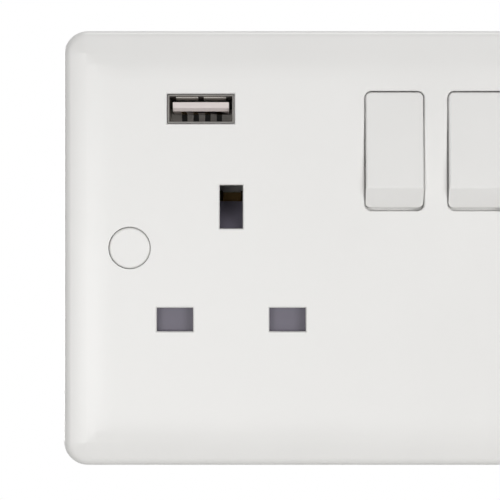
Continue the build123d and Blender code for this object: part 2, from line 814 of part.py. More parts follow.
def can(x, y, radius, height):
    """Electrolytic capacitor standing on the power board."""
    return on_board(x, y) * disc((0, 0), radius, 0, height)


def standing_box(x, y, size):
    """Boxed component standing on the power board."""
    return on_board(x, y) * Pos(0, 0, size[2] / 2) * Box(*size)


def make_parts():
    """Every node of the socket by name."""
    parts = {"front_plate": front_plate(), "fixing_screws": fixing_screws()}
    parts["neutral_bar"] = neutral_bar()
    parts["line_bar"] = line_bar()
    parts["earth_bar"] = earth_bar()
    parts["contact_carrier"] = contact_carrier()
    parts["back_cover"] = back_cover()
    parts["cover_screws"] = cover_screws()
    parts["terminal_screws"] = terminal_screws()
    for name, x in terminals.items():
        parts[f"terminal_{name}"] = terminal(x)
    for hand, side in zip(("left", "right"), sides):
        parts[f"screw_cap_{hand}"] = screw_cap(side * fixing_x)
        parts[f"rocker_{hand}"] = rocker(side)
        parts[f"plunger_{hand}"] = plunger(side)
        parts[f"plunger_spring_{hand}"] = plunger_spring(side)
        parts[f"seesaw_contact_{hand}"] = seesaw_contact(side)
        parts[f"line_clip_{hand}"] = line_clip(side)
        parts[f"shutter_{hand}"] = shutter(side * outlet_x)
        parts[f"shutter_spring_{hand}"] = shutter_spring(side * outlet_x)
        parts[f"usb_shell_{hand}"] = usb_shell(side)
        parts[f"usb_insulator_{hand}"] = usb_insulator(side)
        parts[f"usb_contacts_{hand}"] = usb_contacts(side)
    parts["usb_board"] = usb_board()
    parts["transformer_core"] = transformer_core()
    parts["transformer_winding"] = transformer_winding()
    parts["mains_links"] = mains_links()
    near = board_low + board_part_gap
    parts["input_capacitor"] = can(big_cap_x, board_middle, big_cap_radius, big_cap_height)
    parts["output_capacitor"] = can(port_x, near + small_cap_radius, small_cap_radius, small_cap_height)
    parts["film_capacitor"] = standing_box(film_cap_x, board_middle, film_cap_size)
    fuse_x = supply_x + (supply_arm_width + fuse_size[0]) / 2 + board_part_gap
    parts["fuse"] = standing_box(fuse_x, near + fuse_size[1] / 2, fuse_size)
    parts["controller_chip"] = standing_box(chip_x, near + chip_size[1] / 2, chip_size)
    return parts


os.makedirs("parts", exist_ok=True)
for name, shape in make_parts().items():
    export_step(Rot(90, 0, 0) * shape, f"parts/{name}.step")
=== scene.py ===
import json
import math
import bpy
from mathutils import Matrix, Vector


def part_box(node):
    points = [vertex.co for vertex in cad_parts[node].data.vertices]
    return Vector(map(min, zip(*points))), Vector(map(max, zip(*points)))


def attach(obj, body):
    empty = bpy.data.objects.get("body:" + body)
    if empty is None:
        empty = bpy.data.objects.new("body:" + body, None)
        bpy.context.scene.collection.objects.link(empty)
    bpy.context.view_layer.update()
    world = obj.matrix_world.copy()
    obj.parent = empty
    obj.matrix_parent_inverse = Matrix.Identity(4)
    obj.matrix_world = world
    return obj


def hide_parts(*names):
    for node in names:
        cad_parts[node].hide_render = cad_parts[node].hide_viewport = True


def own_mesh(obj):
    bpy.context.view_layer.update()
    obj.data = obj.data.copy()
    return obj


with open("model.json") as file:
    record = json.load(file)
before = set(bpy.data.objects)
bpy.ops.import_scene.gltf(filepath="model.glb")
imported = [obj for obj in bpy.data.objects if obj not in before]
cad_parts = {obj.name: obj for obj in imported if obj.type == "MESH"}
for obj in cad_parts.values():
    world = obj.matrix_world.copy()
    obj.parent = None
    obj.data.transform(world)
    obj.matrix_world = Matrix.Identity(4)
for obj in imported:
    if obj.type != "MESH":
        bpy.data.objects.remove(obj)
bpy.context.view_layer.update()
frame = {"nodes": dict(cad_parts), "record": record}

# A white double wall socket with charging ports, seen straight on as on a wall.
# x runs along the plate, y into the wall and z up. Blender works in metres; sizes below are in millimetres.

MM = 0.001
bodies = frame["record"]["behaviour"]["bodies"]
body_of_node = {node: body for body, nodes in bodies.items() for node in nodes}

# Places on the solids
sides = {"left": -1, "right": 1}
plate_face = -9.5
pivot_x, pivot_y, pivot_z = 8.17, -4.4, 19.1
port_x, tongue_bottom, above_tongue = 46.3, 27.0, 28.0
board_front, board_back = 11.0, 12.6
chip_x, chip_z = 36.0, 16.9


# Finishes

# Most of a noise's values lie in this span
noise_low, noise_high = 0.3, 0.7


def tint(code):
    """Linear colour of an sRGB hex value."""
    parts = [int(code[i:i + 2], 16) / 255 for i in (1, 3, 5)]
    return tuple(p / 12.92 if p <= 0.04045 else ((p + 0.055) / 1.055) ** 2.4 for p in parts) + (1.0,)


def add(tree, kind, inputs=None, **settings):
    """Adds a node with its settings, and sets or links its inputs."""
    made = tree.nodes.new(kind)
    for key, value in settings.items():
        setattr(made, key, value)
    for key, value in (inputs or {}).items():
        if isinstance(value, bpy.types.NodeSocket):
            tree.links.new(value, made.inputs[key])
        else:
            made.inputs[key].default_value = value
    return made


def new_finish(name, **sockets):
    """A material with its shader's constants set: the tree, the shader and the piece's own coordinates."""
    material = bpy.data.materials.new(name)
    material.use_nodes = True
    tree = material.node_tree
    shader = tree.nodes["Principled BSDF"]
    for key, value in sockets.items():
        shader.inputs[key.replace("_", " ")].default_value = value
    place = add(tree, "ShaderNodeTexCoord").outputs["Object"]
    return material, tree, shader, place


def per_mm(size):
    """Texture scale at which one cell is about this many millimetres."""
    return 1 / (size * MM)


def mottled(name, low, high, cell, rough, bump_cell, bump_height, stretch=None, **sockets):
    """A finish whose tone drifts between two colours, with a fine uneven surface, drawn out if asked.

    The drift's cell, the bumps' cell and the bumps' height are in millimetres.
    """
    material, tree, shader, place = new_finish(name, **sockets)
    if stretch:
        place = add(tree, "ShaderNodeMapping", {"Vector": place, "Scale": stretch}).outputs["Vector"]
    drift = add(tree, "ShaderNodeTexNoise", {"Vector": place, "Scale": per_mm(cell), "Detail": 3.0})
    tone = add(tree, "ShaderNodeValToRGB", {"Fac": drift.outputs["Fac"]})
    for stop, position, code in zip(tone.color_ramp.elements, (noise_low, noise_high), (low, high)):
        stop.position = position
        stop.color = tint(code)
    tree.links.new(tone.outputs["Color"], shader.inputs["Base Color"])
    gloss = add(tree, "ShaderNodeMapRange", {"Value": drift.outputs["Fac"], "From Min": noise_low,
                                             "From Max": noise_high, "To Min": rough[0], "To Max": rough[1]})
    tree.links.new(gloss.outputs["Result"], shader.inputs["Roughness"])
    grain = add(tree, "ShaderNodeTexNoise", {"Vector": place, "Scale": per_mm(bump_cell), "Detail": 2.0})
    bump = add(tree, "ShaderNodeBump", {"Height": grain.outputs["Fac"], "Strength": 1.0,
                                        "Distance": bump_height * MM})
    tree.links.new(bump.outputs["Normal"], shader.inputs["Normal"])
    return material


def port_insulator_finish():
    """Heat resistant polymer: a warm off-white tongue, with painted shade behind it: a grey base, and near
    black in four contact slots and above the tongue.
    """
    material = mottled("polymer_insulator_moulded", "#DFD5D3", "#E4DBD8", 3, (0.5, 0.6), 0.4, 0.003, IOR=1.6,
                       Specular_IOR_Level=0.15)
    tree = material.node_tree
    shader = tree.nodes["Principled BSDF"]
    pale = shader.inputs["Base Color"].links[0].from_socket
    spot = add(tree, "ShaderNodeSeparateXYZ", {0: add(tree, "ShaderNodeTexCoord").outputs["Object"]})
    across = add(tree, "ShaderNodeMath", {0: spot.outputs["X"]}, operation="ABSOLUTE")
    across = add(tree, "ShaderNodeMath", {0: across.outputs[0], 1: port_x * MM}, operation="SUBTRACT")
    across = add(tree, "ShaderNodeMath", {0: across.outputs[0]}, operation="ABSOLUTE")
    # Painted shade: deep in the port the base is painted grey, and four contact slots and all above the
    # tongue near black
    slots = add(tree, "ShaderNodeMath", {0: spot.outputs["Z"], 1: above_tongue * MM},
                operation="GREATER_THAN")
    half_slot, base_start, base_end = 0.55, 1.5, 1.9
    for offset in (1.165, 3.495):
        slot = add(tree, "ShaderNodeMath", {0: across.outputs[0], 1: offset * MM, 2: half_slot * MM},
                   operation="COMPARE")
        slots = add(tree, "ShaderNodeMath", {0: slots.outputs[0], 1: slot.outputs[0]}, operation="MAXIMUM")
    shaded_base = add(tree, "ShaderNodeMix", {0: slots.outputs[0], 6: tint("#8C8884"), 7: tint("#0A0909")},
               data_type="RGBA")
    deep = add(tree, "ShaderNodeMapRange", {"Value": spot.outputs["Y"], "From Min": base_start * MM,
                                            "From Max": base_end * MM})
    whole = add(tree, "ShaderNodeMix", {0: deep.outputs["Result"], 6: pale, 7: shaded_base.outputs[2]},
                data_type="RGBA")
    tree.links.new(whole.outputs[2], shader.inputs["Base Color"])
    return material


def port_shell_finish():
    """Folded steel: nickel plate inside and out, and a dull grey sheared edge in front."""
    material = mottled("steel_nickel_plated", "#A5A19B", "#B0ACA6", 2, (0.48, 0.58), 0.3, 0.002, Metallic=1.0)
    tree = material.node_tree
    shader = tree.nodes["Principled BSDF"]
    bright = shader.inputs["Base Color"].links[0].from_socket
    spot = add(tree, "ShaderNodeSeparateXYZ", {0: add(tree, "ShaderNodeTexCoord").outputs["Object"]})
    edge_front, edge_back = -9.1, -9.05
    behind = add(tree, "ShaderNodeMapRange", {"Value": spot.outputs["Y"], "From Min": edge_front * MM,
                                              "From Max": edge_back * MM})
    whole = add(tree, "ShaderNodeMix", {0: behind.outputs["Result"], 6: tint("#6C6A67"), 7: bright},
                data_type="RGBA")
    tree.links.new(whole.outputs[2], shader.inputs["Base Color"])
    return material


def capacitor_sleeve_finish():
    """The dark vinyl sleeve with a pale stripe down one side that marks a lead."""
    material = mottled("vinyl_sleeve_striped", "#26262B", "#2D2D33", 4, (0.38, 0.46), 0.5, 0.006, IOR=1.53)
    tree = material.node_tree
    shader = tree.nodes["Principled BSDF"]
    dark = shader.inputs["Base Color"].links[0].from_socket
    surface = add(tree, "ShaderNodeNewGeometry")
    facing = add(tree, "ShaderNodeVectorMath", {0: surface.outputs["Normal"], 1: (1, 0, 0)},
                 operation="DOT_PRODUCT")
    stripe_edge = 0.93
    stripe = add(tree, "ShaderNodeMath", {0: facing.outputs["Value"], 1: stripe_edge},
                 operation="GREATER_THAN")
    whole = add(tree, "ShaderNodeMix", {0: stripe.outputs[0], 6: dark, 7: tint("#8E929B")}, data_type="RGBA")
    tree.links.new(whole.outputs[2], shader.inputs["Base Color"])
    return material


# Urea moulding, compression moulded in a polished tool: hard, bright and slightly uneven like orange peel.
urea_white = mottled("urea_moulding_polished", "#EAE9E7", "#ECEBE9", 22, (0.30, 0.36), 2.2, 0.004, IOR=1.55)
# Acetal sliders: smooth and satin, a little darker where the tool was spark eroded.
shutter_satin = mottled("acetal_bluegrey_satin", "#625E6A", "#686470", 6, (0.42, 0.5), 0.5, 0.004, IOR=1.48)
# Rear cover in polycarbonate with a fine eroded texture, so it looks matt.
cover_satin = mottled("polycarbonate_eroded", "#D9D8D4", "#DEDDD9", 14, (0.5, 0.6), 0.45, 0.01, IOR=1.58)
# Carrier in glass filled polyester: pale grey with faint flow marks.
carrier_pale = mottled("polyester_glass_filled", "#C0BEBA", "#C9C7C3", 5, (0.5, 0.62), 0.4, 0.012, IOR=1.57)
insulator_white = port_insulator_finish()
# Brass strip, rolled and stamped: drawn out rolling marks and a brown tarnish.
rolled = (0.2, 1, 1)
brass = mottled("brass_rolled_tarnished", "#8F6C33", "#A98343", 3, (0.4, 0.55), 0.3, 0.003, rolled,
                Metallic=1.0)
# Earth strip in bronze, painted dark as the shade deep behind the earth slot.
bronze = mottled("bronze_painted_shade", "#4A3A22", "#59472C", 3, (0.42, 0.55), 0.3, 0.003, rolled,
                 Metallic=1.0)
# Steel screws with bright zinc plate: cool grey with a slight bloom.
zinc_steel = mottled("steel_zinc_plated", "#B9BCBF", "#C9CBCC", 2, (0.3, 0.42), 0.25, 0.003, Metallic=1.0)
# Hard drawn spring wire: darker grey with drawing marks.
spring_wire = mottled("steel_spring_wire", "#8E8F92", "#9C9DA0", 1.5, (0.3, 0.4), 0.2, 0.002, Metallic=1.0)
nickel_shell = port_shell_finish()
# Contact strips with a thin gold flash.
gold_flash = mottled("bronze_gold_flashed", "#C79B3E", "#D6AC4E", 1, (0.22, 0.3), 0.2, 0.001, Metallic=1.0)
# Sintered manganese zinc ferrite: near black, ground and slightly grainy.
ferrite = mottled("ferrite_sintered", "#2B2A2B", "#353436", 1.2, (0.55, 0.7), 0.25, 0.02)
# Polyester tape wound over the coil: thin, yellow and a little shiny, in rounds about a millimetre apart.
rounds = (0.05, 1, 0.05)
tape_yellow = mottled("polyester_tape", "#D2AE34", "#DDBB45", 3, (0.3, 0.4), 1.1, 0.03, rounds, IOR=1.57)
# Shrunk vinyl sleeve and epoxy mouldings: dark and satin.
sleeve_dark = mottled("vinyl_sleeve_dark", "#26262B", "#2D2D33", 4, (0.38, 0.46), 0.5, 0.006, IOR=1.53)
sleeve_striped = capacitor_sleeve_finish()
# Drawn aluminium of the capacitors' cans: pale and softly brushed.
aluminium = mottled("aluminium_drawn", "#C3C5C8", "#CDCFD1", 1.5, (0.32, 0.42), 0.2, 0.003, Metallic=1.0)
# Tin solder, set from the melt: bright and smooth.
solder = mottled("solder_tin_bright", "#B7B9BB", "#C6C8C9", 1, (0.22, 0.32), 0.3, 0.004, Metallic=1.0)
# Dipped epoxy case: blue with a soft shine.
epoxy_blue = mottled("epoxy_case_blue", "#47609A", "#5069A4", 4, (0.35, 0.42), 0.6, 0.008, IOR=1.55)
# Glass fibre laminate under green solder lacquer.
board_green = mottled("laminate_green_lacquer", "#175A31", "#1D6639", 4, (0.3, 0.38), 0.5, 0.006, IOR=1.55)


# Ways of working

def deselect():
    """Nothing selected, in object mode."""
    if bpy.context.object and bpy.context.object.mode != "OBJECT":
        bpy.ops.object.mode_set(mode="OBJECT")
    bpy.ops.object.select_all(action="DESELECT")


def pick(piece):
    """Only this piece selected and active."""
    deselect()
    piece.select_set(True)
    bpy.context.view_layer.objects.active = piece


def merged_copy(node, name):
    """A copy of a CAD piece with its loose triangles merged into whole faces."""
    piece = bpy.data.objects.new(name, frame["nodes"][node].data.copy())
    bpy.context.collection.objects.link(piece)
    pick(piece)
    bpy.ops.mesh.customdata_custom_splitnormals_clear()
    bpy.ops.object.mode_set(mode="EDIT")
    bpy.ops.mesh.select_all(action="SELECT")
    bpy.ops.mesh.remove_doubles(threshold=1e-6)
    bpy.ops.mesh.dissolve_limited(angle_limit=math.radians(0.3))
    bpy.ops.object.mode_set(mode="OBJECT")
    return piece


def apply_modifier(piece, kind, **settings):
    """Adds a modifier with its settings and applies it."""
    pick(piece)
    modifier = piece.modifiers.new(kind.title(), kind)
    for key, value in settings.items():
        setattr(modifier, key, value)
    bpy.ops.object.modifier_apply(modifier=modifier.name)


def soften(piece, width):
    """Rounds a piece's sharp edges by this many millimetres."""
    apply_modifier(piece, "BEVEL", width=width * MM, segments=2, limit_method="ANGLE",
                   angle_limit=math.radians(35), use_clamp_overlap=True)


def smooth(piece, angle=32):
    """Smooth shading across shallow edges, with flat faces kept flat."""
    pick(piece)
    bpy.ops.object.shade_smooth_by_angle(angle=math.radians(angle))
    apply_modifier(piece, "WEIGHTED_NORMAL", keep_sharp=True, weight=80)


def settle(piece, finish, node, stands_for=True):
    """Gives a piece its material and slot, and the body of the node that it stands for or sits on."""
    piece.data.materials.clear()
    piece.data.materials.append(finish)
    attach(piece, body_of_node[node])
    if stands_for:
        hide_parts(node)


def dressed_copy(node, name, finish, round_mm):
    """A smooth copy of a CAD piece with its edges rounded."""
    piece = merged_copy(node, name)
    soften(piece, round_mm)
    smooth(piece)
    settle(piece, finish, node)


def place_at(piece, spot, turn=(0, 0, 0)):
    """Turns a piece, moves it to a spot in millimetres and applies both to its mesh."""
    pick(piece)
    piece.rotation_euler = turn
    piece.location = Vector(spot) * MM
    bpy.ops.object.transform_apply(location=True, rotation=True, scale=True)
    return piece


def join(name, pieces):
    """Several meshes made one."""
    deselect()
    for piece in pieces:
        piece.select_set(True)
    bpy.context.view_layer.objects.active = pieces[0]
    bpy.ops.object.join()
    pieces[0].name = name
    return pieces[0]


def twin(piece, name):
    """A copy of a piece with its own mesh."""
    copy = bpy.data.objects.new(name, piece.data.copy())
    bpy.context.collection.objects.link(copy)
    return copy


def close_up(piece):
    """Merges doubles, fills open ends and turns the faces outwards."""
    pick(piece)
    bpy.ops.object.mode_set(mode="EDIT")
    bpy.ops.mesh.select_all(action="SELECT")
    bpy.ops.mesh.remove_doubles(threshold=1e-6)
    bpy.ops.mesh.fill_holes(sides=0)
    bpy.ops.mesh.normals_make_consistent(inside=False)
    bpy.ops.object.mode_set(mode="OBJECT")
    return piece


def split(piece, spot, across):
    """Divides the faces of a piece along a plane through a spot in metres, with the piece left whole."""
    pick(piece)
    bpy.ops.object.mode_set(mode="EDIT")
    bpy.ops.mesh.select_all(action="SELECT")
    bpy.ops.mesh.bisect(plane_co=spot, plane_no=across)
    bpy.ops.object.mode_set(mode="OBJECT")


def select_points(piece, wanted):
    """Selects the points of a piece that a test of their place wants, and leaves the piece in edit mode."""
    pick(piece)
    bpy.ops.object.mode_set(mode="EDIT")
    bpy.ops.mesh.select_mode(type="VERT")
    bpy.ops.mesh.select_all(action="DESELECT")
    bpy.ops.object.mode_set(mode="OBJECT")
    for vertex in piece.data.vertices:
        vertex.select = wanted(vertex.co)
    bpy.ops.object.mode_set(mode="EDIT")


def box(name, size, spot, turn=(0, 0, 0)):
    """A block to start from, by its size and centre in millimetres."""
    deselect()
    bpy.ops.mesh.primitive_cube_add(size=MM, location=Vector(spot) * MM, rotation=turn)
    piece = bpy.context.object
    piece.name = name
    piece.scale = size
    bpy.ops.object.transform_apply(location=True, rotation=True, scale=True)
    return piece


def cut(piece, cutter):
    """Takes the cutter's shape out of a piece."""
    apply_modifier(piece, "BOOLEAN", operation="DIFFERENCE", solver="EXACT", object=cutter)
    bpy.data.objects.remove(cutter)


def weld(piece, other):
    """Makes another piece one with this one, with no faces left inside."""
    apply_modifier(piece, "BOOLEAN", operation="UNION", solver="EXACT", object=other)
    bpy.data.objects.remove(other)


def bent(name, size, spot, toward, steps):
    """A strip that starts as a block and is drawn out step by step from the end furthest this way."""
    strip = box(name, size, spot)
    for step in steps:
        pick(strip)
        bpy.ops.object.mode_set(mode="EDIT")
        bpy.ops.mesh.select_mode(type="FACE")
        bpy.ops.mesh.select_all(action="DESELECT")
        bpy.ops.object.mode_set(mode="OBJECT")
        end = max(strip.data.polygons, key=lambda face: face.center.dot(Vector(toward)))
        end.select = True
        bpy.ops.object.mode_set(mode="EDIT")
        bpy.ops.mesh.extrude_region_move(TRANSFORM_OT_translate={"value": Vector(step) * MM})
        bpy.ops.object.mode_set(mode="OBJECT")
    return strip


def turned(name, profile, steps):
    """A piece of revolution about z, through points of radius and height in millimetres from axis to axis."""
    deselect()
    bpy.ops.mesh.primitive_plane_add(size=MM)
    piece = bpy.context.object
    piece.name = name
    bpy.ops.object.mode_set(mode="EDIT")
    bpy.ops.mesh.select_mode(type="VERT")
    bpy.ops.mesh.select_all(action="SELECT")
    bpy.ops.mesh.merge(type="CENTER")
    bpy.ops.transform.translate(value=(profile[0][0] * MM, 0, profile[0][1] * MM))
    for (radius, height), (next_radius, next_height) in zip(profile, profile[1:]):
        step = ((next_radius - radius) * MM, 0, (next_height - height) * MM)
        bpy.ops.mesh.extrude_region_move(TRANSFORM_OT_translate={"value": step})
    bpy.ops.mesh.select_all(action="SELECT")
    bpy.ops.mesh.spin(steps=steps, angle=2 * math.pi, center=(0, 0, 0), axis=(0, 0, 1))
    return close_up(piece)


def wound(name, corners, wire, radius, pitch, turns, steps):
    """A wire of this many corners wound up the z axis from z = 0, open at its ends; sizes in millimetres."""
    deselect()
    bpy.ops.mesh.primitive_circle_add(vertices=corners, radius=wire * MM, location=(radius * MM, 0, 0),
                                      rotation=(math.pi / 2, math.pi / 2, 0))
    piece = bpy.context.object
    piece.name = name
    bpy.ops.object.transform_apply(location=True, rotation=True, scale=True)
    apply_modifier(piece, "SCREW", axis="Z", angle=2 * math.pi, screw_offset=pitch * MM, iterations=turns,
                   steps=steps, render_steps=steps)
    return piece


def spring(name, wire, radius, length, turns):
    """A compression spring from z = 0 up, with closed end turns."""
    end = 2.1 * wire
    pitch = (length - 2 * wire - 2 * end) / turns
    first = place_at(wound(name, 8, wire, radius, end, 1, 16), (0, 0, wire))
    middle = place_at(wound(name, 8, wire, radius, pitch, turns, 16), (0, 0, wire + end))
    last = place_at(wound(name, 8, wire, radius, end, 1, 16), (0, 0, length - wire - end))
    return close_up(join(name, [first, middle, last]))


def threaded(name, profile, crest, pitch, low, high, slots):
    """A turned core with a thread of this crest radius and pitch from low to high, and its drive slots."""
    core = turned(name, profile, 24)
    top = profile[0][1]
    for size in slots:
        cut(core, box("slot", size, (0, 0, top)))
    section = 0.92 * pitch / math.sqrt(3)
    ridge = wound("ridge", 3, section, crest - section, pitch, int((high - low) / pitch), 14)
    place_at(close_up(ridge), (0, 0, low))
    return join(name, [core, ridge])


# Pieces that keep the shape of their solids

def dressed_pieces():
    """Smooth, finished copies of the mouldings, stampings and parts of the board."""
    dressed_copy("contact_carrier", "carrier_moulding", carrier_pale, 0.12)
    dressed_copy("earth_bar", "earth_bar_stamping", bronze, 0.08)
    for node in ("neutral_bar", "line_bar", "terminal_line", "terminal_neutral", "terminal_earth",
                 "line_clip_left", "line_clip_right"):
        dressed_copy(node, f"{node}_stamping", brass, 0.08)
    for hand in sides:
        dressed_copy(f"screw_cap_{hand}", f"cap_{hand}", urea_white, 0.12)
        dressed_copy(f"shutter_{hand}", f"shutter_slider_{hand}", shutter_satin, 0.1)
        dressed_copy(f"plunger_{hand}", f"plunger_pin_{hand}", carrier_pale, 0.1)
        dressed_copy(f"seesaw_contact_{hand}", f"seesaw_blade_{hand}", brass, 0.08)
        dressed_copy(f"usb_shell_{hand}", f"port_shell_{hand}", nickel_shell, 0.08)
        dressed_copy(f"usb_contacts_{hand}", f"port_contacts_{hand}", gold_flash, 0.05)
    dressed_copy("usb_board", "power_board", board_green, 0.1)
    dressed_copy("transformer_core", "ferrite_core", ferrite, 0.2)
    dressed_copy("transformer_winding", "coil_winding", tape_yellow, 0.3)
    dressed_copy("mains_links", "mains_link_pair", zinc_steel, 0.08)
    dressed_copy("film_capacitor", "film_case", epoxy_blue, 0.5)
    dressed_copy("fuse", "fuse_case", sleeve_dark, 0.4)


# Pieces with more shape than their solids

def plate():
    """The face moulding, its long border strips split near the corners so that each end shades by itself."""
    piece = merged_copy("front_plate", "plate_moulding")
    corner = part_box("front_plate")[1]
    for inset in (4.5, 7.1, 9.7):
        for side in sides.values():
            for along, reach in (((1, 0, 0), corner.x), ((0, 0, 1), corner.z)):
                split(piece, Vector(along) * side * (reach - inset * MM), along)
    smooth(piece)
    settle(piece, urea_white, "front_plate")


def rockers():
    """The rockers, their front ends drawn out a little at the sides and top, so the gap is a fine line."""
    margin, wall_depth = 3.0 * MM, -7.0 * MM
    wider, taller = 1.018, 1.009
    for hand in sides:
        node = f"rocker_{hand}"
        piece = merged_copy(node, f"rocker_moulding_{hand}")
        soften(piece, 0.1)
        low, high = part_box(node)
        middle = (low.x + high.x) / 2
        select_points(piece, lambda place: place.y < wall_depth and (
            abs(place.x - middle) > margin or place.z > high.z - margin))
        bpy.ops.transform.resize(value=(wider, 1, taller), center_override=(middle, 0, low.z))
        bpy.ops.object.mode_set(mode="OBJECT")
        smooth(piece)
        settle(piece, urea_white, node)


def port_springs():
    """Two leaf springs under the roof of each port's shell, which grip a plug."""
    half_apart = 2.75
    bends = [(0, -3.2, -0.28), (0, -1.4, -0.2), (0, -0.45, 0.02), (0, -0.35, 0.2), (0, -0.15, 0.25)]
    for hand, side in sides.items():
        leaf = bent(f"port_springs_{hand}", (4.4, 0.6, 0.2), (0, -1.0, 29.85), (0, -1, 0), bends)
        soften(leaf, 0.04)
        other = twin(leaf, "leaf")
        place_at(leaf, (side * port_x - half_apart, 0, 0))
        place_at(other, (side * port_x + half_apart, 0, 0))
        pair = join(f"port_springs_{hand}", [leaf, other])
        smooth(pair)
        settle(pair, nickel_shell, f"usb_shell_{hand}", False)


def port_insulators():
    """The ports' insulators, with the underside of the tongue's tip cut back to lead the plug in."""
    lead_height, lead_depth = 0.65 * MM, 0.9 * MM
    bottom = tongue_bottom * MM
    for hand in sides:
        node = f"usb_insulator_{hand}"
        piece = merged_copy(node, f"port_tongue_{hand}")
        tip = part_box(node)[0].y
        split(piece, (0, 0, bottom + lead_height), (0, 0, 1))
        select_points(piece, lambda place: place.y < tip + 0.01 * MM and place.z < bottom + 0.4 * MM)
        bpy.ops.transform.translate(value=(0, lead_depth, 0))
        bpy.ops.object.mode_set(mode="OBJECT")
        soften(piece, 0.08)
        smooth(piece)
        settle(piece, insulator_white, node)


def cover():
    """The rear cover with the round marks that the mould's ejector pins leave."""
    piece = merged_copy("back_cover", "cover_moulding")
    soften(piece, 0.25)
    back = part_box("back_cover")[1].y / MM
    radius, depth = 2.5, 0.15
    pins = []
    for x, z in ((-46, 20), (46, 20), (-46, -20), (46, -20), (0, 22), (-30, 6), (30, 6), (0, 2)):
        pin = turned("pin", [(0, depth), (radius, depth), (radius, -depth), (0, -depth)], 28)
        pins.append(place_at(pin, (x, back, z), (math.pi / 2, 0, 0)))
    cut(piece, join("pins", pins))
    smooth(piece)
    settle(piece, cover_satin, "back_cover")


def terminal_marks():
    """Raised letters and the earth sign behind the terminals, read from the back."""
    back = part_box("back_cover")[1].y / MM
    # Each stroke's centre in x and z, its length and its lean in degrees
    line = [(-9.2, -20.5, 3.2, 0), (-10.0, -21.85, 2.0, 90)]
    neutral = [(1.1, -20.5, 3.2, 0), (-1.1, -20.5, 3.2, 0), (0, -20.5, 3.4, 34)]
    earth = [(10, -19.7, 1.6, 0), (10, -20.5, 3.2, 90), (10, -21.2, 2.1, 90), (10, -21.9, 1.0, 90)]
    bars = []
    for x, z, length, lean in line + neutral + earth:
        # Strokes that cross differ a little in height, so that they weld cleanly
        height = 0.46 if lean else 0.5
        bar = box("terminal_marks", (0.5, height, length), (x, back, z), (0, math.radians(lean), 0))
        soften(bar, 0.1)
        bars.append(bar)
    marks = bars[0]
    for bar in bars[1:]:
        weld(marks, bar)
    smooth(marks)
    settle(marks, cover_satin, "back_cover", False)


def screws():
    """The fixing, cover and terminal screws with their threads and slots, each left at another angle."""
    pan_head = [(0, 1.7), (1.9, 1.7), (2.75, 1.5), (3.2, 1.0), (3.3, 0.5), (3.3, 0)]
    long_shank = [(1.5, 0), (1.5, -4.1), (1.35, -4.3), (1.35, -24.5), (0.9, -25), (0, -25)]
    cover_head = [(0, 1.5), (1.2, 1.5), (1.9, 1.3), (2.25, 0.8), (2.3, 0)]
    cover_shank = [(0.85, 0), (0.85, -21.9), (0.5, -22.5), (0, -22.5)]
    grub_body = [(0, 0), (1.35, 0), (1.5, -0.15), (1.28, -0.4), (1.28, -3.4), (1.0, -3.8), (0, -3.8)]
    cross = [(2.6, 0.7, 1.8), (0.7, 2.6, 1.8)]
    fixing = threaded("fixing_screw_pair", pan_head + long_shank, 1.75, 0.6, -24.6, -4.2, [(7, 0.9, 1.8)])
    cover_one = threaded("cover_screw_pair", cover_head + cover_shank, 1.25, 0.9, -21.8, -1.0, cross)
    grub = threaded("terminal_screw_set", grub_body, 1.75, 0.7, -3.5, -0.4, [(4, 0.8, 2.0)])
    # The first screw, the node, the places in x, y and z, and the way the head faces
    sets = [(fixing, "fixing_screws", (-60.3, 60.3), -4.4, 0, 90),
            (cover_one, "cover_screws", (-16.5, 16.5), 16.6, -6, -90),
            (grub, "terminal_screws", (-10, 0, 10), 16.2, -29.25, -90)]
    first_angle, next_angle = 0.5, 0.8
    for first, node, across, seat, level, turn in sets:
        others = [twin(first, f"{node}_copy") for _ in across[1:]]
        for count, (piece, x) in enumerate(zip([first] + others, across)):
            place_at(piece, (0, 0, 0), (0, 0, first_angle + next_angle * count))
            place_at(piece, (x, seat, level), (math.radians(turn), 0, 0))
        whole = join(first.name, [first] + others)
        smooth(whole)
        settle(whole, zinc_steel, node)


def springs():
    """Shutter springs on their ledges and plunger springs in the rockers' bores."""
    wire = 0.2
    shutter_free, shutter_pressed = 9.5, 4.3
    plunger_free, plunger_pressed, bore_depth = 5.0, 4.4, 3.4
    lean = math.radians(5.5)
    along = Vector((0, -math.cos(lean), math.sin(lean)))
    for hand, side in sides.items():
        ledge = (side * 40.3, -5.55, -27.15)
        coil = place_at(spring(f"shutter_coil_{hand}", wire, 1.0, shutter_free, 7), ledge)
        smooth(coil, 60)
        settle(coil, spring_wire, f"shutter_spring_{hand}")
        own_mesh(coil)
        pivot = Vector((side * pivot_x, pivot_y, pivot_z))
        coil = place_at(spring(f"plunger_coil_{hand}", wire, 1.15, plunger_free, 4),
                        pivot - (plunger_free - bore_depth) * along, (math.pi / 2 - lean, 0, 0))
        smooth(coil, 60)
        settle(coil, spring_wire, f"plunger_spring_{hand}")
        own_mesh(coil)


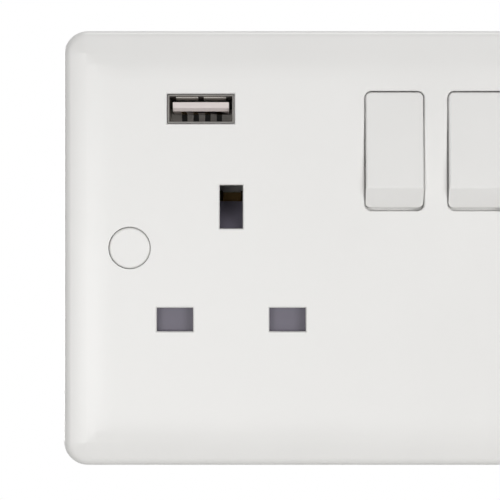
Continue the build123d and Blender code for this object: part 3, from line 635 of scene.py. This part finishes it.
def capacitors():
    """Electrolytic cans: shrunk sleeve with its crimp, and the scored aluminium top."""
    for node, radius, height, x, z in (("input_capacitor", 4.0, 12.0, -22.5, 22.4),
                                       ("output_capacitor", 3.15, 11.0, port_x, 18.05)):
        rim = radius - 0.7
        shoulder = [(0, height - 0.3), (rim, height - 0.3), (rim, height - 0.05), (rim + 0.3, height),
                    (radius - 0.1, height - 0.15), (radius, height - 0.5)]
        crimp = [(radius, 2.0), (radius - 0.3, 1.6), (radius, 1.2), (radius, 0.3), (radius - 0.3, 0), (0, 0)]
        sleeve = turned(f"{node}_sleeve", shoulder + crimp, 40)
        disc = [(0, height - 0.1), (rim - 0.15, height - 0.1), (rim - 0.03, height - 0.18),
                (rim - 0.03, height - 0.28), (0, height - 0.28)]
        top = turned(f"{node}_top", disc, 40)
        for size in ((1.3 * rim, 0.22, 0.16), (0.22, 1.3 * rim, 0.16)):
            cut(top, box("score", size, (0, 0, height - 0.1)))
        for piece in (sleeve, top):
            place_at(piece, (x, board_front, z), (math.pi / 2, 0, 0))
            smooth(piece)
        settle(sleeve, sleeve_striped, node)
        settle(top, aluminium, node, False)


def chip():
    """Controller in a small outline case with a first lead dimple, and its bent leads."""
    case = merged_copy("controller_chip", "chip_case")
    soften(case, 0.12)
    dimple = turned("dimple", [(0, 0.1), (0.35, 0.1), (0.35, -0.1), (0, -0.1)], 20)
    cut(case, place_at(dimple, (chip_x - 1.7, 9.4, chip_z - 0.9), (math.pi / 2, 0, 0)))
    smooth(case)
    settle(case, sleeve_dark, "controller_chip")
    lead_pitch, half_row = 1.27, 1.5
    bends = [(0, 0.62, -0.16), (0, 0.06, -0.3)]
    lead = bent("chip_leads", (0.42, 0.18, 0.3), (0, 10.2, 14.8), (0, 0, -1), bends)
    soften(lead, 0.04)
    leads = [lead] + [twin(lead, "lead") for _ in range(7)]
    for count, piece in enumerate(leads):
        if count % 2:
            place_at(piece, (0, 0, 2 * chip_z), (0, math.pi, 0))
        place_at(piece, (chip_x + lead_pitch * (count // 2 - half_row), 0, 0))
    leads = join("chip_leads", leads)
    smooth(leads)
    settle(leads, solder, "controller_chip", False)


def solder_joints():
    """Cones of solder behind the board where the leads come through."""
    profile = [(0, 0.8), (0.25, 0.78), (0.32, 0.5), (0.5, 0.2), (0.95, 0.03), (0.95, -0.05), (0, -0.05)]
    capacitor_leads = [(-24.0, 22.4), (-21.0, 22.4), (45.3, 18.05), (47.3, 18.05), (-30.5, 17.4),
                       (-30.5, 27.4)]
    fuse_leads = [(-45.9, 16.9), (-40.8, 16.9)]
    coil_leads = [(20.5, 20.4), (20.5, 24.4), (29.5, 20.4), (29.5, 24.4)]
    port_leads = [(side * port_x + offset, 26.2) for side in sides.values()
                  for offset in (-3.5, -1.17, 1.17, 3.5)]
    cones = []
    for x, z in capacitor_leads + fuse_leads + coil_leads + port_leads:
        cone = turned("cone", profile, 14)
        cones.append(place_at(cone, (x, board_back, z), (-math.pi / 2, 0, 0)))
    joints = join("solder_joints", cones)
    smooth(joints, 50)
    settle(joints, solder, "usb_board", False)


dressed_pieces()
plate()
rockers()
port_springs()
port_insulators()
cover()
terminal_marks()
screws()
springs()
capacitors()
chip()
solder_joints()


# Studio

def seen_itself(tree):
    """1 for rays that show a thing itself: from the camera, in a reflection or through something clear."""
    path = add(tree, "ShaderNodeLightPath")
    seen = add(tree, "ShaderNodeMath", {0: path.outputs["Is Camera Ray"], 1: path.outputs["Is Glossy Ray"]},
               operation="MAXIMUM")
    seen = add(tree, "ShaderNodeMath", {0: seen.outputs[0], 1: path.outputs["Is Transmission Ray"]},
               operation="MAXIMUM")
    return seen.outputs[0]


def studio_world():
    """White to the camera and in reflections, and a plain soft fill for everything else."""
    fill_level = 0.14
    world = bpy.data.worlds.new("studio")
    bpy.context.scene.world = world
    world.use_nodes = True
    tree = world.node_tree
    level = add(tree, "ShaderNodeMapRange", {"Value": seen_itself(tree), "To Min": fill_level, "To Max": 1.0})
    back = tree.nodes["Background"]
    back.inputs["Color"].default_value = (1, 1, 1, 1)
    tree.links.new(level.outputs["Result"], back.inputs["Strength"])


def lamp(name, place, aim, size, power):
    """A large soft panel lamp; its place, aim and size are in metres and its power in watts."""
    deselect()
    bpy.ops.object.light_add(type="AREA", location=place)
    made = bpy.context.object
    made.name = name
    made.data.shape = "RECTANGLE"
    made.data.size, made.data.size_y = size
    made.data.energy = power
    made.rotation_euler = (Vector(aim) - Vector(place)).to_track_quat("-Z", "Y").to_euler()
    made.visible_camera = False


def studio_lamps():
    """Soft panels from both sides in front, weaker ones from above and below, and two for the back."""
    middle = (0, 0, 0)
    lamp("key_panel", (-0.62, -1.25, -0.05), middle, (0.45, 0.3), 3.7)
    lamp("front_panel", (-0.20, -1.40, -0.05), middle, (0.5, 0.5), 2.5)
    lamp("fill_panel", (0.75, -1.2, -0.02), middle, (0.6, 0.4), 7.2)
    lamp("upper_panel", (0.1, -1.0, 0.9), middle, (0.8, 0.6), 1.5)
    lamp("top_panel", (0, 0.12, 0.6), (0, 0.01, 0), (0.35, 0.12), 0.85)
    lamp("low_strip", (-0.03, -0.19, -0.088), (-0.03, 0, 0), (0.34, 0.02), 0.008)
    lamp("rear_panel", (0.6, 1.05, 0.06), middle, (0.8, 0.4), 8.0)
    lamp("rear_fill_panel", (-0.75, 0.95, 0.06), middle, (0.6, 0.4), 5.0)


def studio_floor():
    """Pale paper under the object that keeps its shadow and runs out to white."""
    level, radius, fade_start, fade_end, least_white = -0.1, 0.36, 0.14, 0.34, 0.45
    deselect()
    bpy.ops.mesh.primitive_circle_add(vertices=96, radius=radius, fill_type="NGON", location=(0, 0, level))
    floor = bpy.context.object
    floor.name = "studio_paper"
    material, tree, shader, place = new_finish("paper_white_matt", Roughness=0.9)
    shader.inputs["Base Color"].default_value = tint("#E8E8E6")
    reach = add(tree, "ShaderNodeVectorMath", {0: place}, operation="LENGTH")
    far = add(tree, "ShaderNodeMapRange", {"Value": reach.outputs["Value"], "From Min": fade_start,
                                           "From Max": fade_end}, interpolation_type="SMOOTHSTEP")
    pale = add(tree, "ShaderNodeMapRange", {"Value": far.outputs["Result"], "To Min": least_white,
                                            "To Max": 1.0})
    white = add(tree, "ShaderNodeMath", {0: pale.outputs["Result"], 1: seen_itself(tree)},
                operation="MULTIPLY")
    glow = add(tree, "ShaderNodeEmission", {"Color": (1, 1, 1, 1), "Strength": 1.0})
    mix = add(tree, "ShaderNodeMixShader", {"Fac": white.outputs[0], 1: shader.outputs[0],
                                            2: glow.outputs[0]})
    tree.links.new(mix.outputs[0], tree.nodes["Material Output"].inputs["Surface"])
    floor.data.materials.append(material)


def photo_camera():
    """Looks square at the left half of the plate from a distance, as the photo does."""
    centre_x, centre_z, distance = -36.6, -0.4, 410
    data = bpy.data.cameras.new("photo_camera")
    camera = bpy.data.objects.new("photo_camera", data)
    bpy.context.collection.objects.link(camera)
    data.lens, data.sensor_width = 150, 36
    camera.location = Vector((centre_x, plate_face - distance, centre_z)) * MM
    camera.rotation_euler = (math.radians(90), 0, 0)
    bpy.context.scene.camera = camera


studio_world()
studio_lamps()
studio_floor()
photo_camera()
bpy.context.scene.view_settings.view_transform = "Standard"
